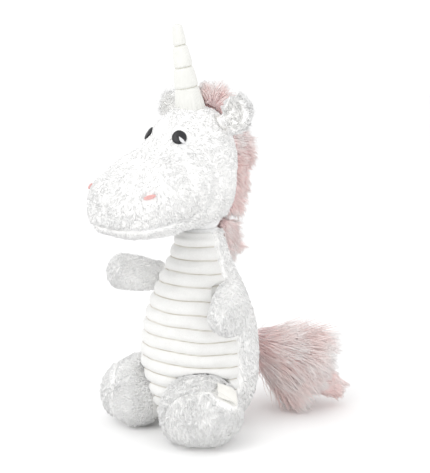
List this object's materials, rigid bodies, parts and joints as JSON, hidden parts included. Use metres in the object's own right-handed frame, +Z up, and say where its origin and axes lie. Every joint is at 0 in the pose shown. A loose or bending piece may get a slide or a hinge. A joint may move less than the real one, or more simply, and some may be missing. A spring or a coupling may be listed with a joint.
{
  "type": "plush unicorn",
  "caption": "Seated plush unicorn: stuffed pear-shaped body with a ribbed front, nodding head with horn and soft ears, swinging arms and legs, long pile mane and wagging tail.",
  "frame": {"origin": "on the ground, in the middle of the flat of the seat", "axes": "+Z up; the toy looks along -Y, so its left side is +X"},
  "size_m": [0.152, 0.2222, 0.3244],
  "materials": {
    "white_plush": "short white pile",
    "ribbed_velour": "short pile, quilted in level ribs",
    "cream_satin": "smooth woven cloth",
    "cream_thread": "twisted thread",
    "pink_pile": "long soft pile with paler tips",
    "black_thread": "satin stitch",
    "pink_thread": "satin stitch",
    "ear_velour": "short pile",
    "fibre_filling": "loose fibre",
    "pellets": "loose pellets in a cloth bag",
    "white_backing": "plain weave",
    "label_ribbon": "woven ribbon"
  },
  "bodies": {
    "body": {"seat_panel": "white_plush", "belly_panel": "ribbed_velour", "left_back_panel": "white_plush", "right_back_panel": "white_plush", "body_filling": "fibre_filling", "pellet_bag": "pellets", "neck_mane": "pink_pile"},
    "head": {"chin_panel": "white_plush", "forehead_gusset": "white_plush", "left_face_panel": "white_plush", "right_face_panel": "white_plush", "head_filling": "fibre_filling", "left_eye": "black_thread", "right_eye": "black_thread", "left_nostril": "pink_thread", "right_nostril": "pink_thread", "horn_cover": "cream_satin", "horn_filling": "fibre_filling", "lower_horn_stitching": "cream_thread", "middle_horn_stitching": "cream_thread", "upper_horn_stitching": "cream_thread", "head_mane": "pink_pile"},
    "left_ear": {"left_ear_back": "white_plush", "left_ear_lining": "ear_velour"},
    "left_arm": {"left_arm_cover": "white_plush", "left_arm_filling": "fibre_filling"},
    "left_leg": {"left_leg_cover": "white_plush", "left_leg_sole": "white_plush", "left_leg_filling": "fibre_filling", "left_foot_label": "label_ribbon"},
    "right_ear": {"right_ear_back": "white_plush", "right_ear_lining": "ear_velour"},
    "right_arm": {"right_arm_cover": "white_plush", "right_arm_filling": "fibre_filling"},
    "right_leg": {"right_leg_cover": "white_plush", "right_leg_sole": "white_plush", "right_leg_filling": "fibre_filling"},
    "tail": {"tail_core": "white_backing", "tail_pile": "pink_pile"}
  },
  "joints": [
    {"name": "head_nod", "type": "hinge", "parent": "body", "child": "head", "pos_m": [0, 0, 0.176], "axis": [1, 0, 0], "range_deg": [-10, 12], "stiffness_Nm_per_rad": 2},
    {"name": "left_arm_swing", "type": "hinge", "parent": "body", "child": "left_arm", "pos_m": [0.04432, -0.00781, 0.118], "axis": [-0.766, -0.6428, 0], "range_deg": [0, 48], "stiffness_Nm_per_rad": 0.1},
    {"name": "right_arm_swing", "type": "hinge", "parent": "body", "child": "right_arm", "pos_m": [-0.04432, -0.00781, 0.118], "axis": [-0.766, 0.6428, 0], "range_deg": [-34, 14], "stiffness_Nm_per_rad": 0.1},
    {"name": "left_leg_swing", "type": "hinge", "parent": "body", "child": "left_leg", "pos_m": [0.03641, -0.03279, 0.0265], "axis": [-0.6691, -0.7431, 0], "range_deg": [0, 26], "stiffness_Nm_per_rad": 0.3},
    {"name": "right_leg_swing", "type": "hinge", "parent": "body", "child": "right_leg", "pos_m": [-0.03641, -0.03279, 0.0265], "axis": [-0.6691, 0.7431, 0], "range_deg": [0, 26], "stiffness_Nm_per_rad": 0.3},
    {"name": "left_ear_flop", "type": "hinge", "parent": "head", "child": "left_ear", "pos_m": [0.022, 0.003, 0.249], "axis": [0.4132, -0.062, -0.9085], "range_deg": [-20, 20], "stiffness_Nm_per_rad": 0.02},
    {"name": "right_ear_flop", "type": "hinge", "parent": "head", "child": "right_ear", "pos_m": [-0.022, 0.003, 0.249], "axis": [0.4132, 0.062, 0.9085], "range_deg": [-20, 20], "stiffness_Nm_per_rad": 0.02},
    {"name": "tail_wag", "type": "hinge", "parent": "body", "child": "tail", "pos_m": [0, 0.056, 0.064], "axis": [0.3278, 0.435, 0.8387], "range_deg": [-12, 18], "stiffness_Nm_per_rad": 0.3}
  ]
}
